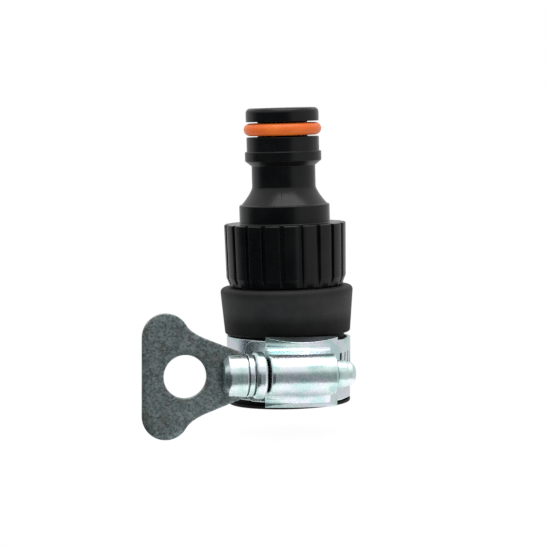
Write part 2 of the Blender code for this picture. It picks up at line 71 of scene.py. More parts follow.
camera = bpy.data.objects.new("photo_camera", bpy.data.cameras.new("photo_camera"))
bpy.context.collection.objects.link(camera)
camera.data.lens = CAMERA_LENS
camera.data.clip_start = 0.01
reach = CAMERA_DISTANCE * MM
camera.location = Vector(CAMERA_TARGET) * MM + Vector(
    (0, -reach * math.cos(CAMERA_RISE), reach * math.sin(CAMERA_RISE)))
aim = Euler((math.pi / 2 - CAMERA_RISE, 0, 0)).to_matrix() @ Matrix.Rotation(CAMERA_LEAN, 3, "Z")
camera.rotation_euler = aim.to_euler()
bpy.context.scene.camera = camera


# Rubber sleeve. One soft black EPDM moulding, pushed on the tap's spout and squeezed there by the
# clamp in the groove round its lower half. Three rings inside seal it.
def rounded(corners, steps=6):
    """A closed outline with an arc at each (radius, height, rounding) corner. The arc is the centre
    of the circle that touches both sides plus the spherical mix of its first and last spoke."""
    corners = np.asarray(corners, float)
    here, size = corners[:, :2], corners[:, 2:]
    back = np.roll(here, 1, 0) - here
    ahead = np.roll(here, -1, 0) - here
    back /= np.linalg.norm(back, axis=1, keepdims=True)
    ahead /= np.linalg.norm(ahead, axis=1, keepdims=True)
    half = np.arccos(np.clip((back * ahead).sum(1, keepdims=True), -1, 1)) / 2
    middle = (back + ahead) / np.linalg.norm(back + ahead, axis=1, keepdims=True)
    centre = here + middle * size / np.sin(half)
    first = here + back * size / np.tan(half) - centre
    last = here + ahead * size / np.tan(half) - centre
    swing = (np.pi - 2 * half)[:, None]
    share = np.linspace(0, 1, steps + 1)[None, :, None]
    spokes = np.sin((1 - share) * swing) * first[:, None] + np.sin(share * swing) * last[:, None]
    return (centre[:, None] + spokes / np.sin(swing)).reshape(-1, 2)


def braced(outline, reach=0.08):
    """The outline with two more points on each long side, a short reach from its ends, so that
    smooth shading keeps the sides straight."""
    step = np.roll(outline, -1, 0) - outline
    length = np.linalg.norm(step, axis=1, keepdims=True)
    lead = step / np.maximum(length, 1e-9) * reach
    trio = np.stack([outline, outline + lead, outline + step - lead], 1)
    long = length[:, 0] > 4 * reach
    return trio[np.stack([np.ones_like(long), long, long], 1)]


def turned(outline, turns):
    """The points of an outline turned about +Z: (r cos t, r sin t, z) at every turn t."""
    radius, height = outline[:, :1], outline[:, 1:]
    x, y = radius * np.cos(turns), radius * np.sin(turns)
    return np.stack([x, y, np.broadcast_to(height, x.shape)], -1)


def skin(name, points, ends=False):
    """A closed mesh through a grid of points in mm. Each four neighbours make a face. The columns
    close on themselves, and so do the rows, unless flat ends close the first and last row."""
    rows, columns = points.shape[:2]
    index = np.arange(rows * columns).reshape(rows, columns)
    lower = index[:-1] if ends else index
    upper = np.roll(index, -1, 0)[:len(lower)]
    faces = np.stack([lower, np.roll(lower, -1, 1), np.roll(upper, -1, 1), upper], -1)
    faces = faces.reshape(-1, 4).tolist()
    if ends:
        faces += [index[0].tolist(), index[-1].tolist()]
    mesh = bpy.data.meshes.new(name)
    mesh.from_pydata(points.reshape(-1, 3) * MM, [], faces)
    outward(mesh)
    mesh.shade_smooth()
    piece = bpy.data.objects.new(name, mesh)
    bpy.context.collection.objects.link(piece)
    return piece


def outward(mesh):
    """Turns every face of a closed mesh outwards."""
    bm = bmesh.new()
    bm.from_mesh(mesh)
    bmesh.ops.recalc_face_normals(bm, faces=bm.faces)
    bm.to_mesh(mesh)
    bm.free()


def linear(colour):
    """The linear colour of an sRGB hex one such as 2A2B2D."""
    channels = np.array([int(colour[i:i + 2], 16) / 255 for i in (0, 2, 4)])
    low = channels / 12.92
    return (*np.where(channels <= 0.04045, low, ((channels + 0.055) / 1.055) ** 2.4), 1.0)


def add(tree, kind, inputs=(), **settings):
    """Adds a node with its settings. An input is a value or the output that feeds it."""
    made = tree.nodes.new(kind)
    for name, value in settings.items():
        setattr(made, name, value)
    for name, value in dict(inputs).items():
        if isinstance(value, bpy.types.NodeSocket):
            tree.links.new(value, made.inputs[name])
        else:
            made.inputs[name].default_value = value
    return made


def new_material(name, **sockets):
    """A Principled material with values on its own sockets. Returns it, its tree and its shader."""
    made = bpy.data.materials.new(name)
    made.use_nodes = True
    shader = made.node_tree.nodes["Principled BSDF"]
    for socket, value in sockets.items():
        shader.inputs[socket.replace("_", " ")].default_value = value
    return made, made.node_tree, shader


def dress(piece, material, body, node):
    """Gives a piece its material and its body, and hides the CAD node that it stands for."""
    piece.data.materials.append(material)
    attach(piece, body)
    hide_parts(node)


def times(tree, first, second):
    """The product of two numbers."""
    return add(tree, "ShaderNodeMath", {0: first, 1: second}, operation="MULTIPLY").outputs[0]


def shaded(tree, colour, share):
    """A colour multiplied by a number or by another colour."""
    return add(tree, "ShaderNodeVectorMath", {0: colour, 1: share},
               operation="MULTIPLY").outputs["Vector"]


def blotches(tree, colours, grain, detail=3.0, contrast=(0.35, 0.65)):
    """A colour that wanders between several, in patches of a grain in mm."""
    place = add(tree, "ShaderNodeTexCoord").outputs["Object"]
    noise = add(tree, "ShaderNodeTexNoise", {"Vector": place, "Scale": 1 / (grain * MM),
                                             "Detail": detail})
    ramp = add(tree, "ShaderNodeValToRGB", {"Fac": noise.outputs["Fac"]})
    places = np.linspace(*contrast, len(colours))
    stops = ramp.color_ramp.elements
    stops[0].position, stops[0].color = places[0], linear(colours[0])
    stops[1].position, stops[1].color = places[-1], linear(colours[-1])
    for spot, colour in zip(places[1:-1], colours[1:-1]):
        stops.new(spot).color = linear(colour)
    return ramp.outputs["Color"]


def grained(tree, shader, grain, depth, detail=4.0):
    """A bumpy surface of a grain and a depth in mm, on top of what bump the shader has."""
    place = add(tree, "ShaderNodeTexCoord").outputs["Object"]
    noise = add(tree, "ShaderNodeTexNoise", {"Vector": place, "Scale": 1 / (grain * MM),
                                             "Detail": detail})
    bump = add(tree, "ShaderNodeBump", {"Height": noise.outputs["Fac"], "Strength": 1.0,
                                        "Distance": depth * MM})
    if shader.inputs["Normal"].links:
        tree.links.new(shader.inputs["Normal"].links[0].from_socket, bump.inputs["Normal"])
    tree.links.new(bump.outputs["Normal"], shader.inputs["Normal"])
    return noise.outputs["Fac"]


def varied(tree, shader, noise, low, high):
    """The roughness follows a pattern, from a low value to a high one."""
    spread = add(tree, "ShaderNodeMapRange", {"Value": noise, "From Min": 0.3, "From Max": 0.7,
                                              "To Min": low, "To Max": high})
    tree.links.new(spread.outputs["Result"], shader.inputs["Roughness"])


SLEEVE_HEIGHT = 25.35
TAPER_RADII = (13.58, 14.47)
FOOT_RADIUS = 13.25
FOOT_HEIGHT = 0.75
GROOVE_RADIUS = 12.25
GROOVE_TOP = 15.255
STUB_HOLE = 10.5
CHAMBER_RADIUS = 12.05
CHAMBER_FLOOR = 20.95
CHAMBER_ROOF = 23.55
SOCKET_RADIUS = 8.5
MOUTH_RADIUS = 9.3
MOUTH_BEVEL = 0.8
SEAL_RADIUS = 8.0
SEAL_RISE = 0.7
SEAL_ROUND = 0.3
SEAL_HEIGHTS = (12.0, 8.0, 4.0)
SIDES = 160
# Painted shade and sheen by height over the taper: where the ramp starts, its spots and its amounts.
SHADE_START = 15.0
SHADE_SPOTS = (0.0, 0.3, 0.5, 0.78, 1.0)
SHADE_AMOUNTS = (0.25, 0.45, 1.0, 1.0, 0.5)
RUBBER_SHEEN = 0.42

seals = [(radius, height + rise, SEAL_ROUND) for height in SEAL_HEIGHTS for radius, rise in (
    (SOCKET_RADIUS, SEAL_RISE), (SEAL_RADIUS, 0.0), (SOCKET_RADIUS, -SEAL_RISE))]
sleeve_outline = braced(rounded([
    (FOOT_RADIUS, 0.0, 0.35), (FOOT_RADIUS, FOOT_HEIGHT, 0.1), (GROOVE_RADIUS, FOOT_HEIGHT, 0.1),
    (GROOVE_RADIUS, GROOVE_TOP, 0.15), (TAPER_RADII[0], GROOVE_TOP, 0.5),
    (TAPER_RADII[1], SLEEVE_HEIGHT, 1.0), (STUB_HOLE, SLEEVE_HEIGHT, 0.15),
    (STUB_HOLE, CHAMBER_ROOF, 0.1), (CHAMBER_RADIUS, CHAMBER_ROOF, 0.1),
    (CHAMBER_RADIUS, CHAMBER_FLOOR, 0.1), (SOCKET_RADIUS, CHAMBER_FLOOR, 0.15), *seals,
    (SOCKET_RADIUS, MOUTH_BEVEL, 0.3), (MOUTH_RADIUS, 0.0, 0.15)]))
around = np.linspace(0, 2 * np.pi, SIDES, endpoint=False)
sleeve = skin("rubber_sleeve_moulding", turned(sleeve_outline, around))

# Moulded EPDM rubber: dull black with a fine matt grain from the mould. A painted shade and a painted
# sheen change with the height above the band: darkest just above the band, lightest higher up, and
# darker again at the top.
rubber, tree, shader = new_material("moulded EPDM rubber", Roughness=0.6, IOR=1.5)
height = add(tree, "ShaderNodeSeparateXYZ", {
    0: add(tree, "ShaderNodeTexCoord").outputs["Object"]}).outputs["Z"]
above_band = add(tree, "ShaderNodeMapRange", {
    "Value": height, "From Min": SHADE_START * MM, "From Max": SLEEVE_HEIGHT * MM}).outputs["Result"]
# Painted shade and painted sheen: this ramp by height scales the rubber's colour and its specular
# level.
painted_shade_and_sheen = add(tree, "ShaderNodeValToRGB", {"Fac": above_band})
stops = painted_shade_and_sheen.color_ramp.elements
for spot in SHADE_SPOTS[1:-1]:
    stops.new(spot)
for stop, spot, amount in zip(stops, SHADE_SPOTS, SHADE_AMOUNTS):
    stop.position, stop.color = spot, (amount, amount, amount, 1)
colour = shaded(tree, blotches(tree, ("1E1E1F", "242425", "2A2A2B"), grain=6.0),
                painted_shade_and_sheen.outputs["Color"])
tree.links.new(colour, shader.inputs["Base Color"])
painted_sheen = times(tree, painted_shade_and_sheen.outputs["Color"], RUBBER_SHEEN)
tree.links.new(painted_sheen, shader.inputs["Specular IOR Level"])
varied(tree, shader, grained(tree, shader, grain=0.25, depth=0.02), low=0.5, high=0.68)
dress(sleeve, rubber, "sleeve", "rubber_sleeve")


# Threaded insert. A black acetal stub whose flange was moulded into the sleeve's chamber. Its male
# half-inch pipe thread carries the connector.
PIPE_PITCH = 1.814
THREAD_HEIGHT = 1.0
INSERT_BORE = 6.5
INSERT_BASE = 17.45
COLLAR_RADIUS = 8.2
FLANGE_RADIUS = 11.75
FLANGE_HEIGHTS = (21.25, 23.25)
STUB_TOP = 34.45
STUB_RADIUS = 10.2
STUB_BEVEL = 0.6


def thread(heights, turns, pitch):
    """How deep a right-handed thread's groove is, 0 at the crest and 1 at the root: a raised
    cosine of height / pitch - turn."""
    return 0.5 - 0.5 * np.cos(2 * np.pi * (heights[:, None] / pitch - turns[None] / (2 * np.pi)))


def faded(heights, low, high, run):
    """1 between two heights, falling to 0 over a run inside each end."""
    return np.clip(np.minimum(heights - low, high - heights) / run, 0, 1)[:, None]


def resampled(outline, spacing):
    """The outline with its long sides cut into steps of about the spacing."""
    step = np.roll(outline, -1, 0) - outline
    count = np.maximum(np.ceil(np.linalg.norm(step, axis=1) / spacing), 1).astype(int)
    owner = np.repeat(np.arange(len(outline)), count)
    share = np.arange(count.sum()) - np.repeat(np.cumsum(count) - count, count)
    return outline[owner] + step[owner] * (share / count[owner])[:, None]


insert_outline = resampled(braced(rounded([
    (INSERT_BORE, INSERT_BASE, 0.2), (COLLAR_RADIUS, INSERT_BASE, 0.2),
    (COLLAR_RADIUS, FLANGE_HEIGHTS[0], 0.1), (FLANGE_RADIUS, FLANGE_HEIGHTS[0], 0.2),
    (FLANGE_RADIUS, FLANGE_HEIGHTS[1], 0.2), (STUB_RADIUS, FLANGE_HEIGHTS[1], 0.1),
    (STUB_RADIUS, STUB_TOP - STUB_BEVEL, 0.1), (STUB_RADIUS - STUB_BEVEL, STUB_TOP, 0.1),
    (INSERT_BORE, STUB_TOP, 0.3)], 4)), PIPE_PITCH / 12)
insert_points = turned(insert_outline, around)
on_stub = (insert_outline[:, :1] > STUB_RADIUS - 0.01) * faded(
    insert_outline[:, 1], SLEEVE_HEIGHT, STUB_TOP - STUB_BEVEL, PIPE_PITCH)
shrink = 1 - on_stub * THREAD_HEIGHT * thread(insert_outline[:, 1], around, PIPE_PITCH) / STUB_RADIUS
insert_points[..., :2] *= shrink[..., None]
insert = skin("threaded_insert_moulding", insert_points)

# Moulded acetal: deep black and satin, with the faint ripple of a polished mould.
acetal, tree, shader = new_material("moulded black acetal", Specular_IOR_Level=0.24)
tree.links.new(blotches(tree, ("0A0A0B", "0E0E0F", "131314"), grain=8.0), shader.inputs["Base Color"])
varied(tree, shader, grained(tree, shader, grain=1.2, depth=0.004), low=0.22, high=0.3)
dress(insert, acetal, "sleeve", "threaded_insert")


# Flat gasket. A ring cut from nitrile sheet, held in the skirt between the insert's end and the
# shoulder above the thread.
GASKET_RADII = (6.0, 9.4)
GASKET_HEIGHTS = (34.75, 36.95)
GASKET_ROUND = 0.12

gasket_outline = braced(rounded([
    (GASKET_RADII[side], GASKET_HEIGHTS[end], GASKET_ROUND)
    for side, end in ((0, 0), (1, 0), (1, 1), (0, 1))], 4))
gasket = skin("flat_gasket_ring", turned(gasket_outline, around))

# Cut nitrile sheet: dark grey, duller than the sleeve, with the coarser grain of the press.
nitrile, tree, shader = new_material("pressed nitrile sheet", Roughness=0.7)
tree.links.new(blotches(tree, ("202122", "2B2C2D"), grain=3.0), shader.inputs["Base Color"])
grained(tree, shader, grain=0.4, depth=0.03)
dress(gasket, nitrile, "gasket", "flat_gasket")


# Tap connector. One black acetal moulding: a fluted skirt with a female thread that screws on the
# insert, and a quick-connect nipple on top. The mould halves left a fine line down the nipple.
SKIRT_BOTTOM = 25.65
SKIRT_TOP = 39.05
SKIRT_RADII = (12.25, 13.01, 13.24)
SKIRT_TAPER = 1.9
SKIRT_BORE = 10.5
BORE_BEVEL = 0.4
GASKET_SEAT = 37.25
BODY_TOP = 43.15
NECK_BOTTOM = 47.0
NECK_TOP = 51.5
CATCH_BOTTOM = 52.6
CATCH_TOP = 54.6
LAND_TOP = 57.75
SEAL_GROOVE_TOP = 61.05
NIPPLE_TOP = 64.0
BODY_RADIUS = 9.8
FLARE_RADIUS = 9.32
FLARE_POWER = 1.4
FLARE_END = 0.97
FLARE_POINTS = 15
NECK_RADIUS = 6.9
CATCH_RADIUS = 8.28
LAND_RADIUS = 7.85
SEAL_FLOOR = 5.4
LIP_RADIUS = 7.9
NIPPLE_BORE = 4.3
NIPPLE_BEVEL = 0.6
CONE_HEIGHT = 4.0
THREAD_RELIEF = 0.6
RIBS = 20
RIB_RADIUS = 13.0
RIB_PHASE = math.radians(-93.5)
RIB_COLUMNS = (0.06, 0.2, 0.3, 0.34, 0.4, 0.46, 0.52, 0.58, 0.75, 1.1, 1.5)
GROOVE_FLOOR = 12.31
GROOVE_HALF = (0.34, 0.52)
LAND_CROWN = 0.08

rise = np.linspace(0, FLARE_END, FLARE_POINTS)
flare = NECK_RADIUS + (FLARE_RADIUS - NECK_RADIUS) * (1 - rise) ** FLARE_POWER
flare = [(radius, BODY_TOP + (NECK_BOTTOM - BODY_TOP) * share, 0.02)
         for radius, share in zip(flare, rise)]
connector_outline = braced(rounded([
    (SKIRT_RADII[0], SKIRT_BOTTOM, 0.15), (SKIRT_RADII[1], SKIRT_BOTTOM + SKIRT_TAPER, 0.6),
    (SKIRT_RADII[2], SKIRT_TOP, 0.3), (BODY_RADIUS, SKIRT_TOP, 0.2), (BODY_RADIUS, BODY_TOP, 0.33),
    *flare, (NECK_RADIUS, NECK_BOTTOM + 0.1, 0.05), (NECK_RADIUS, NECK_TOP, 0.25),
    (CATCH_RADIUS, CATCH_BOTTOM, 0.25), (CATCH_RADIUS, CATCH_TOP, 0.15), (LAND_RADIUS, CATCH_TOP, 0.08),
    (LAND_RADIUS, LAND_TOP, 0.15), (SEAL_FLOOR, LAND_TOP, 0.2), (SEAL_FLOOR, SEAL_GROOVE_TOP, 0.2),
    (LIP_RADIUS, SEAL_GROOVE_TOP, 0.15), (LIP_RADIUS, NIPPLE_TOP, 1.0),
    (NIPPLE_BORE + NIPPLE_BEVEL, NIPPLE_TOP, 0.15), (NIPPLE_BORE, NIPPLE_TOP - NIPPLE_BEVEL, 0.15),
    (NIPPLE_BORE, BODY_TOP + CONE_HEIGHT, 0.3), (INSERT_BORE, BODY_TOP, 0.3),
    (INSERT_BORE, GASKET_SEAT, 0.15), (SKIRT_BORE, GASKET_SEAT, 0.15),
    (SKIRT_BORE, SKIRT_BOTTOM + BORE_BEVEL, 0.1), (SKIRT_BORE + BORE_BEVEL, SKIRT_BOTTOM, 0.1)], 5))

# The threaded bore has rows only near its two ends. The columns are closer together by each groove.
in_bore = np.abs(connector_outline[:, 0] - SKIRT_BORE) < 0.01
inside = np.flatnonzero(in_bore & (connector_outline[:, 1] < GASKET_SEAT - 0.35))
bore_heights = np.arange(connector_outline[inside, 1].max(), connector_outline[inside, 1].min(),
                         -PIPE_PITCH / 10)
bore_rows = np.stack([np.full_like(bore_heights, SKIRT_BORE), bore_heights], 1)
connector_outline = np.concatenate([connector_outline[:inside[0]], bore_rows,
                                    connector_outline[inside[-1]:]])
across = np.concatenate([-np.array(RIB_COLUMNS)[::-1], RIB_COLUMNS])
middles = RIB_PHASE + 2 * np.pi * np.arange(RIBS)[:, None] / RIBS
columns = (middles + across[None] / RIB_RADIUS).ravel()
connector_points = turned(connector_outline, columns)
radius = np.broadcast_to(connector_outline[:, :1], connector_points.shape[:2])
height = connector_outline[:, 1:]

# Flutes: down to the groove's floor in the middle of each groove, eased up to the rib at its lips.
offset = np.abs(np.tile(across, RIBS))
share = np.clip((GROOVE_HALF[1] - offset) / (GROOVE_HALF[1] - GROOVE_HALF[0]), 0, 1)
groove = share * share * (3 - 2 * share)
outside = (radius > GROOVE_FLOOR) & (height > SKIRT_BOTTOM - 0.01)
pitch = 2 * np.pi * RIB_RADIUS / RIBS
crown = LAND_CROWN * ((pitch / 2 - offset) / (pitch / 2 - GROOVE_HALF[1])) ** 2
fluted = np.where(outside, radius - crown * (1 - groove), radius)
fluted = np.where(outside, fluted - (fluted - GROOVE_FLOOR) * groove, fluted)

# Start of the female thread. It widens the bore's lower edge a little, and the rest stays smooth.
deep = THREAD_HEIGHT * thread(connector_outline[:, 1], columns, PIPE_PITCH)
in_bore = (np.abs(radius - SKIRT_BORE) < 0.01) & (height < GASKET_SEAT)
fade = faded(connector_outline[:, 1], SKIRT_BOTTOM + BORE_BEVEL, GASKET_SEAT - THREAD_RELIEF,
             PIPE_PITCH / 2)
fluted = fluted + in_bore * fade * deep

# Parting line: a low ridge on both sides, from the body up to the neck's top.
PARTING_HEIGHT = 0.04
PARTING_WIDTH = 0.12
seam = np.abs(np.sin(columns - RIB_PHASE)) * radius
on_nipple = (height > SKIRT_TOP + 0.3) & (height < NECK_TOP) & (radius > NECK_RADIUS - 0.3)
fluted = fluted + on_nipple * PARTING_HEIGHT * np.exp(-(seam / PARTING_WIDTH) ** 2)
connector_points[..., :2] *= (fluted / radius)[..., None]
connector = skin("tap_connector_moulding", connector_points)
dress(connector, acetal, "connector", "tap_connector")


# Nipple O-ring. A round ring of orange silicone, stretched into the nipple's groove.
RING_CENTRE = (7.05, 59.4)
RING_SECTION = 1.35
RING_SIDES = 32

sweep = np.linspace(0, 2 * np.pi, RING_SIDES, endpoint=False)
ring_outline = np.stack([RING_CENTRE[0] + RING_SECTION * np.cos(sweep),
                         RING_CENTRE[1] + RING_SECTION * np.sin(sweep)], 1)
o_ring = skin("nipple_o_ring_moulding", turned(ring_outline, around))

# Moulded silicone: bright orange, smooth, a little light under the skin.
silicone, tree, shader = new_material("moulded orange silicone", Roughness=0.38, IOR=1.43,
                                      Subsurface_Weight=0.15, Subsurface_Scale=0.6 * MM)
shader.inputs["Subsurface Radius"].default_value = (1.0, 0.35, 0.1)
tree.links.new(blotches(tree, ("E86A20", "EC7022", "F07A28"), grain=4.0), shader.inputs["Base Color"])
varied(tree, shader, grained(tree, shader, grain=0.5, depth=0.004), low=0.32, high=0.44)
dress(o_ring, silicone, "connector", "nipple_o_ring")


# Clamp band. One strip of zinc plated steel, 13 mm wide, with slanted slots stamped in for the worm.
# Its start lies under the housing, and its slotted end steps over the start and leaves as a tail.
joints = {joint["name"]: joint for joint in frame["joints"]}
clamp_centre = np.array(joints["clamp_turn"]["pos_m"]) / MM
screw_centre = np.array(joints["screw_turn"]["pos_m"]) / MM
clamp_up = np.array(joints["clamp_turn"]["axis"])
clamp_right = np.array(joints["screw_turn"]["axis"])
clamp_right = clamp_right / np.linalg.norm(clamp_right)
clamp_up = clamp_up / np.linalg.norm(clamp_up)
clamp_back = np.cross(clamp_up, clamp_right)
SCREW_OFFSET = float(np.linalg.norm(screw_centre - clamp_centre))


def in_clamp(points):
    """Points given along the screw, back towards the sleeve and up the clamp's axis, in the frame."""
    return clamp_centre + points @ np.stack([clamp_right, clamp_back, clamp_up])


BAND_THICKNESS = 0.7
BAND_RADII = (12.754, 13.754)
BAND_START = math.radians(31)
BAND_STEP = (math.radians(-300), math.radians(-326))
TAIL_END = math.radians(-413)
BAND_HALF = 6.5
BAND_EDGE = 0.12
TAIL_CORNER = 2.6
SLOT_FIRST = math.radians(-401)
SLOT_PITCH = math.radians(10)
SLOT_COUNT = 19
SLOT_HALF = 0.42
SLOT_REACH = 3.6
SLOT_SLANT = 0.4
TAIL_STATIONS = 8
PLAIN_STEP = math.radians(2.5)
SHARP_EDGE = math.radians(50)

# The strip's grid has a station beside each slot and a row at each slot's end. A pull of 1 or -1
# says which way a border draws back where the edges are rounded.
slots = SLOT_FIRST + SLOT_PITCH * np.arange(SLOT_COUNT)
half_slot = SLOT_HALF / BAND_RADII[1]
plain = np.arange(slots[-1] + 2 * half_slot, BAND_START, PLAIN_STEP)
stations = np.concatenate([
    np.linspace(TAIL_END, SLOT_FIRST - 2 * half_slot, TAIL_STATIONS), slots - half_slot,
    slots + half_slot, slots[:-1] + SLOT_PITCH / 2, plain, [BAND_START]])
pull = np.concatenate([[1], np.zeros(TAIL_STATIONS - 1), -np.ones(SLOT_COUNT), np.ones(SLOT_COUNT),
                       np.zeros(SLOT_COUNT - 1 + len(plain)), [-1]])
order = np.argsort(stations)
stations, pull = stations[order], pull[order]
slot_end = SLOT_REACH / BAND_HALF
rows = np.array([0.33 * slot_end, slot_end, 0.6, 0.72, 0.84, 0.95, 1])
rows = np.concatenate([-rows[::-1], [0], rows])
row_pull = np.array([1, 0, 0, 0, 0, -1, 0, 0, 0, 1, 0, 0, 0, 0, -1])
middles = (stations[1:] + stations[:-1]) / 2
is_slot = (np.abs(middles[:, None] - slots[None]) < half_slot * 0.99).any(1)
row_middles = (rows[1:] + rows[:-1]) / 2 * BAND_HALF
solid = ~(is_slot[:, None] & (np.abs(row_middles) < SLOT_REACH)[None])


def band_layer(depth, inset):
    """One layer of the strip at a depth from its inner face: (r cos t, r sin t, z), where r steps
    outwards smoothly over its own start and the slots lean. All edges draw back by the inset."""
    turn = stations + pull * inset / BAND_RADII[1]
    share = np.clip((BAND_STEP[0] - turn) / (BAND_STEP[0] - BAND_STEP[1]), 0, 1)
    radius = BAND_RADII[0] + (BAND_RADII[1] - BAND_RADII[0]) * share ** 2 * (3 - 2 * share) + depth
    from_end = np.clip((stations - TAIL_END) * BAND_RADII[1], 0, TAIL_CORNER)
    half = BAND_HALF - TAIL_CORNER + np.sqrt(TAIL_CORNER ** 2 - (TAIL_CORNER - from_end) ** 2)
    rise = half[:, None] * rows[None] + inset * row_pull[None]
    leans = (stations > slots[0] - 2 * half_slot) & (stations < slots[-1] + 2 * half_slot)
    lean = leans[:, None] * SLOT_SLANT * rise / (2 * SLOT_REACH) / BAND_RADII[1]
    turn = turn[:, None] + lean - math.pi / 2
    return np.stack([radius[:, None] * np.cos(turn), radius[:, None] * np.sin(turn), rise], -1)


def slotted_strip(name, layers, solid):
    """A sheet from several grids of points in mm, one above another, with some cells left out. The
    first and last layer get faces, and walls join the layers wherever a cell meets a gap."""
    shape = layers.shape[:3]
    index = np.arange(np.prod(shape)).reshape(shape)
    corners = np.stack([index[:, :-1, :-1], index[:, 1:, :-1], index[:, 1:, 1:],
                        index[:, :-1, 1:]], -1)
    faces = [corners[0][solid], corners[-1][solid]]
    around = np.pad(solid, 1)
    beside = [around[1:-1, :-2], around[2:, 1:-1], around[1:-1, 2:], around[:-2, 1:-1]]
    for side, neighbour in enumerate(beside):
        wall = solid & ~neighbour
        a, b = corners[..., side][:, wall], corners[..., (side + 1) % 4][:, wall]
        faces.append(np.stack([a[:-1], a[1:], b[1:], b[:-1]], -1).reshape(-1, 4))
    used, faces = np.unique(np.concatenate(faces), return_inverse=True)
    mesh = bpy.data.meshes.new(name)
    mesh.from_pydata(layers.reshape(-1, 3)[used] * MM, [], faces.reshape(-1, 4).tolist())
    outward(mesh)
    mesh.shade_smooth()
    mesh.set_sharp_from_angle(angle=SHARP_EDGE)
    piece = bpy.data.objects.new(name, mesh)
    bpy.context.collection.objects.link(piece)
    return piece


swing = np.linspace(0, np.pi / 2, 4)
depths = BAND_EDGE * (1 - np.cos(swing))
insets = BAND_EDGE * (1 - np.sin(swing))
layers = [band_layer(depth, inset) for depth, inset in zip(depths, insets)]
layers += [band_layer(BAND_THICKNESS - depth, inset) for depth, inset in zip(depths, insets)][::-1]
band = slotted_strip("clamp_band_strip", in_clamp(np.array(layers)), solid)


# Zinc plate: clouds of a few colours, a soft waviness as wide as the clouds, and small pits. Places
# that its attribute marks get painted shade: their colour and their edge tint go nearly black.
def zinc_plate(name, colours, cloud, pits, low, high):
    """A metal with clouds and pits of a size in mm and a roughness from low to high."""
    made, tree, shader = new_material(name, Metallic=0.93)
    # Painted shade and painted dark reflection, read from a vertex attribute.
    painted_shade = add(tree, "ShaderNodeAttribute", attribute_name="painted_shade").outputs["Fac"]
    shade = add(tree, "ShaderNodeMapRange", {"Value": painted_shade, "To Min": 1.0,
                                             "To Max": 0.05}).outputs["Result"]
    colour = shaded(tree, blotches(tree, colours, cloud), shade)
    tree.links.new(colour, shader.inputs["Base Color"])
    tree.links.new(shade, shader.inputs["Specular Tint"])
    grained(tree, shader, grain=cloud, depth=0.02)
    varied(tree, shader, grained(tree, shader, grain=pits, depth=0.003), low, high)
    return made


bright_zinc = zinc_plate("bright zinc plated steel", ("B0CBCC", "CDE2DE", "DCDEE8", "C0D8D8"),
                         cloud=6.0, pits=0.5, low=0.2, high=0.32)
dress(band, bright_zinc, "clamp", "clamp_band")


# Clamp housing. One pressing of zinc plated sheet: a curved plate whose edges slope down round the
# band, and a tunnel raised over the worm, blended into the plate. Its ends are punched through.
PLATE_RADIUS = 15.504
PLATE_ANGLE = math.radians(30.6)
HOUSING_HALF = 7.55
HOUSING_LIP = 14.0
SHEET = 0.75
HOUSING_EDGE = 0.1
TUNNEL_RADIUS = 4.4
TUNNEL_ENDS = np.array([-8.4, 6.0])
TUNNEL_ROUNDS = (1.0, 0.3)
TUNNEL_FILLET = 1.5
FILLET_END = math.radians(73)
DRAFT = 0.06
SHOULDER_ENDS = 0.25
SHOULDER_MIDDLE = 1.15
SHOULDER_SLOPE = 1.25
SHOULDER_START = 0.08
PLATE_SLOPE = 0.3
SLOPE_END = 6.4
TUNNEL_ROWS = 16
PLATE_ROWS = 6
ROW_GAP = 0.02
END_GAP = 0.04
MIDDLE_INSET = 0.06
JOURNAL_RADIUS = 2.9
JOURNAL_ENDS = (-9.3, 7.5)

quarter = np.linspace(0, np.pi / 2, 13)
swell, sink = np.sin(quarter), np.cos(quarter)
climb = np.array([0.0, 0.04, 0.5, 0.96, 1.0])


